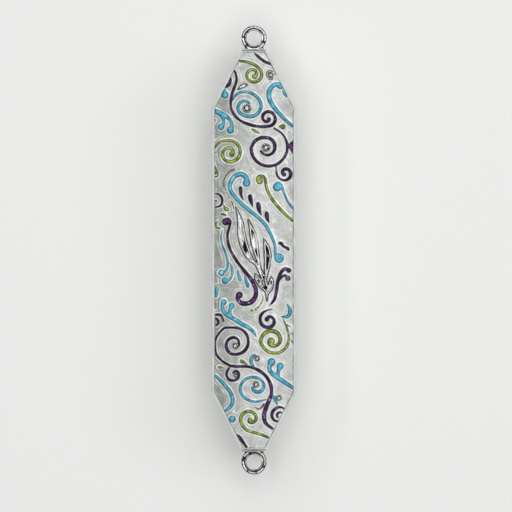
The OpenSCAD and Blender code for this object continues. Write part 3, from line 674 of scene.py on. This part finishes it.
def silver_relief(node, height, material):
    """Bright raised edges around a hammered, slightly hollow middle."""
    loops = [resampled(loop, SILVER_STEP) for loop in front_loops(node)]
    outlines[node] = loops
    verts, faces = sheet_mesh(loops, SILVER_STEP)
    d = edge_distance(verts, loops)
    edge = 0.36 * MM
    up = np.clip(d / edge, 0, 1)
    hollow = np.clip((d - edge) / (0.35 * MM), 0, 1)
    rise = height * (up * (2 - up) - 0.45 * hollow * hollow * (3 - 2 * hollow))
    rise = softened(rise, faces, d < 1e-7, 5)
    rise += hollow * wobble(verts, 1.7 * MM, 0.1 * MM, 6.0)
    y = GROUND_Y + SINK - rise
    piece = mesh_object(node + "_relief", np.column_stack([verts[:, 0], y, verts[:, 1]]), faces, material)
    turned_forward(piece)
    # the hollow middle, which the silver material fills with painted shade and dark reflections
    paint(piece, "hollow", hollow)
    # painted shade along the relief's outline
    paint(piece, "painted_shade", np.exp(-(d / (0.17 * MM)) ** 2))
    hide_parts(node)
    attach(piece, "case")


def islands(node):
    """The (x, z) centre and the radius of each separate solid in a node."""
    mesh = NODES[node].data
    groups = []
    bm = bmesh.new()
    bm.from_mesh(mesh)
    bmesh.ops.remove_doubles(bm, verts=bm.verts, dist=1e-6)
    left = set(bm.verts)
    while left:
        seed = left.pop()
        group = [seed]
        stack = [seed]
        while stack:
            for e in stack.pop().link_edges:
                for v in e.verts:
                    if v in left:
                        left.remove(v)
                        group.append(v)
                        stack.append(v)
        co = np.array([v.co for v in group])
        low, high = co.min(0), co.max(0)
        groups.append(((low[0] + high[0]) / 2, (low[2] + high[2]) / 2, (high[0] - low[0]) / 2))
    bm.free()
    return sorted(groups)


def lathe(bm, profile, x, z, turns=32):
    """Adds a round body at (x, z): profile is [(radius, height above the enamel), ...]."""
    rings = []
    for r, h in profile:
        ring = []
        for i in range(turns):
            a = 2 * math.pi * i / turns
            ring.append(bm.verts.new((x + r * math.cos(a), GROUND_Y - h, z + r * math.sin(a))))
        rings.append(ring)
    for low, high in zip(rings, rings[1:]):
        for i in range(turns):
            j = (i + 1) % turns
            bm.faces.new((low[i], low[j], high[j], high[i]))
    return rings


def finished(name, bm, material, smooth, node):
    """Turns a bmesh into a piece of the case that stands for a node."""
    bmesh.ops.recalc_face_normals(bm, faces=bm.faces)
    mesh = bpy.data.meshes.new(name)
    bm.to_mesh(mesh)
    bm.free()
    piece = bpy.data.objects.new(name, mesh)
    bpy.context.scene.collection.objects.link(piece)
    mesh.materials.append(material)
    mesh.polygons.foreach_set("use_smooth", [smooth] * len(mesh.polygons))
    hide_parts(node)
    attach(piece, "case")
    return piece


def circle(x, z, r):
    """Points around a round foot, as an outline."""
    a = np.linspace(0, 2 * math.pi, 25)[:-1]
    return np.column_stack([x + r * np.cos(a), z + r * np.sin(a)])


def bead_row(node, material):
    """Small beads, each a little out of round."""
    bm = bmesh.new()
    outlines[node] = [circle(*spot) for spot in islands(node)]
    for x, z, r in islands(node):
        stretch = Matrix.Diagonal((random.uniform(0.95, 1.08), 1.0, random.uniform(0.95, 1.08), 1))
        place = Matrix.Translation((x, GROUND_Y, z)) @ stretch
        bmesh.ops.create_uvsphere(bm, u_segments=20, v_segments=12, radius=r, matrix=place)
    piece = finished(node + "_domes", bm, material, True, node)
    paint(piece, "crown", np.full(len(piece.data.vertices), 0.7))
    # painted shade darkens the silver beads all over; the green enamel does not read it
    paint(piece, "painted_shade", np.full(len(piece.data.vertices), 0.5))


def stone_cups(material):
    """Low cups with a rolled rim and claws over each stone."""
    bm = bmesh.new()
    painted_cup_shade = []
    # the third number of each step is painted shade: dark on the cup's outer wall and inside it, lightest on
    # the rim's top
    profile = ((1.02, -0.1, 1), (1.0, 0.25, 0.9), (0.97, 0.48, 0.7), (0.9, 0.58, 0.3), (0.82, 0.5, 1),
               (0.78, 0.3, 1), (0.3, 0.2, 1))
    outlines["silver_cups"] = [circle(*spot) for spot in islands("stone_settings")]
    for x, z, r in islands("stone_settings"):
        for ring, (_, _, shade_share) in zip(lathe(bm, [(a * r, h * MM) for a, h, _ in profile], x, z), profile):
            painted_cup_shade += [shade_share] * len(ring)
        for i in range(4):
            a = math.pi / 2 * i + 0.5
            place = (x + 0.8 * r * math.cos(a), GROUND_Y - 0.56 * MM, z + 0.8 * r * math.sin(a))
            bmesh.ops.create_icosphere(bm, subdivisions=2, radius=0.17 * r, matrix=Matrix.Translation(place))
        painted_cup_shade += [0] * (len(bm.verts) - len(painted_cup_shade))
    piece = finished("stone_cups", bm, material, True, "stone_settings")
    paint(piece, "painted_shade", painted_cup_shade)


def cut_stones(material):
    """Round cut stones: a table, star and kite facets, and a girdle."""
    bm = bmesh.new()
    for x, z, r in islands("crystals"):
        turn = random.uniform(0, math.pi / 4)

        def ring(radius, height, offset):
            made = []
            for i in range(8):
                a = turn + math.pi / 4 * (i + offset)
                place = (x + radius * math.cos(a), GROUND_Y - height, z + radius * math.sin(a))
                made.append(bm.verts.new(place))
            return made

        table = ring(0.5 * r, 0.3 * MM + 0.42 * r, 0)
        star = ring(0.7 * r, 0.3 * MM + 0.26 * r, 0.5)
        girdle = ring(0.88 * r, 0.3 * MM, 0)
        foot = ring(0.86 * r, 0.2 * MM, 0)
        bm.faces.new(table)
        for i in range(8):
            j = (i + 1) % 8
            bm.faces.new((table[i], table[j], star[i]))
            bm.faces.new((table[j], star[j], star[i]))
            bm.faces.new((star[i], star[j], girdle[j]))
            bm.faces.new((star[i], girdle[j], girdle[i]))
            bm.faces.new((girdle[i], girdle[j], foot[j], foot[i]))
    piece = finished("cut_stones", bm, material, False, "crystals")
    # painted reflections: the table white, every other facet near-black, grey or white at random
    reflection_levels = (0.0, 0.0, 0.0, 0.4, 1.0)
    painted_facet_reflections = piece.data.attributes.new("facet_reflection", "FLOAT", "FACE")
    painted_facet_reflections.data.foreach_set("value", [1.0 if len(face.vertices) == 8 else random.choice(reflection_levels)
                                      for face in piece.data.polygons])


# ---------- the case, the eyelets and the inside ----------

def eyelet(node, up, material):
    """A cast ring with a raised outer bead, on a foot that runs into the case."""
    low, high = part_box(node)
    outer = high.x
    middle = (high.z - outer) if up > 0 else (low.z + outer)
    wire = (high.y - low.y) / 2
    mid_y = (low.y + high.y) / 2
    bm = bmesh.new()
    turns = 96
    hole = outer - 1.93 * wire
    # half of the ring's section, as (radius, height as a share of the wire), from the hole outward
    profile = [(hole, 0.2), (hole + 0.1 * MM, 0.5), (hole + 0.28 * MM, 0.56), (hole + 0.38 * MM, 0.2),
               (hole + 0.6 * MM, 0.2), (hole + 0.72 * MM, 0.8), (outer - 0.4 * MM, 1.0),
               (outer - 0.18 * MM, 0.8), (outer, 0.35)]
    ring = [(r, -h * wire) for r, h in profile] + [(r, h * wire) for r, h in reversed(profile)]
    grid = []
    for i in range(turns):
        a = 2 * math.pi * i / turns
        uneven = 1 + 0.007 * math.sin(3 * a + up)
        row = []
        for r, h in ring:
            run = r * (uneven if r > hole + 0.3 * MM else 1)
            row.append(bm.verts.new((run * math.cos(a), mid_y + h, middle + run * math.sin(a))))
        grid.append(row)
    for i in range(turns):
        here, there = grid[i], grid[(i + 1) % turns]
        for k in range(len(ring)):
            j = (k + 1) % len(ring)
            bm.faces.new((here[k], here[j], there[j], there[k]))

    # painted shade in the groove, and painted dark reflections at both edges and in a few patches
    ring_shade = []
    for v in bm.verts:
        r = math.hypot(v.co.x, v.co.z - middle)
        shade_unevenness = 0.95 + 0.8 * noise.noise(v.co / (1.6 * MM))
        dark = max(abs(r - hole - 0.49 * MM) < 0.13 * MM, r < hole + 0.12 * MM, r > outer - 0.3 * MM)
        reflection_patch = 2.4 * noise.noise(v.co / (1.3 * MM) + Vector((5, 0, 2))) - 0.45
        ring_shade.append(max(shade_unevenness * dark, reflection_patch))

    # two stepped blocks make the foot; painted shade darkens the lower one where it meets the case, and the
    # upper one all over
    base = low.z if up > 0 else high.z
    for width, height, thick, lift in ((6.9, 0.55, 1.9, 1), (5.4, 0.62, 1.6, 2.2)):
        centre = Vector((0, mid_y, base + up * height * MM / 2 * lift))
        size = Matrix.Diagonal((width * MM, thick * wire, height * MM, 1))
        made = bmesh.ops.create_cube(bm, size=1, matrix=Matrix.Translation(centre) @ size)
        edges = list({e for v in made["verts"] for e in v.link_edges})
        bmesh.ops.bevel(bm, geom=edges, offset=0.24 * MM, segments=4, affect="EDGES", profile=0.5)
    half = (len(bm.verts) - len(ring_shade)) // 2
    feet = [v.co.z for v in bm.verts][len(ring_shade):]
    ring_shade += [0.9 * (abs(z - base) < 0.3 * MM) for z in feet[:half]] + [0.8] * half
    piece = finished(node + "_cast", bm, material, True, node)
    paint(piece, "hollow", ring_shade)


def dressed(node, material, bevel=None):
    """A CAD node that stays, with its own material and softened edges."""
    obj = NODES[node]
    obj.data.materials.clear()
    obj.data.materials.append(material)
    if bevel:
        weld = obj.modifiers.new("weld", "WELD")
        weld.merge_threshold = 0.002 * MM
        soften = obj.modifiers.new("soft_edges", "BEVEL")
        soften.width = bevel
        soften.segments = 3
        soften.limit_method = "ANGLE"
        soften.angle_limit = math.radians(30)
        soften.harden_normals = True


make_camera()
make_world()
make_backdrop()
make_lights()
bpy.context.scene.view_settings.view_transform = "Standard"

purple_enamel = coloured_enamel("purple_enamel", (0.0004, 0.0001, 0.0008), (0.012, 0.0012, 0.022),
                                (0.17, 0.03, 0.25), 0.95, 1.3)
turquoise_enamel = coloured_enamel("turquoise_enamel", (0.008, 0.12, 0.17), (0.03, 0.31, 0.45),
                                   (0.11, 0.52, 0.68), 0.4, 1.55)
green_enamel = coloured_enamel("green_enamel", (0.02, 0.045, 0.001), (0.12, 0.18, 0.008),
                               (0.48, 0.52, 0.06), 0.7, 1.5)
silver = bright_silver()
case_metal = cast_metal("case_metal", (0.62, 0.63, 0.615), 0.46, 0.02 * MM, 0.9)
ring_metal = cast_metal("ring_metal", (0.97, 0.98, 0.97), 0.07, 0.003 * MM)

for names, enamel in ((PURPLE, purple_enamel), (TURQUOISE, turquoise_enamel), (GREEN, green_enamel)):
    for name in names:
        strand(name, enamel)
silver_relief("silver_leaf_sprig", 0.95 * MM, silver)
silver_relief("silver_tendrils", 0.45 * MM, silver)
bead_row("green_beads", green_enamel)
bead_row("silver_beads", silver)
stone_cups(silver)
cut_stones(crystal())
face_ground(pearl_enamel())

eyelet("top_eyelet", 1, ring_metal)
eyelet("bottom_eyelet", -1, ring_metal)
dressed("case_shell", case_metal, 0.2 * MM)
dressed("back_cover", brushed_cover(), 0.12 * MM)
dressed("parchment_scroll", parchment())
dressed("scroll_film", clear_film())
dressed("scroll_thread", red_thread())
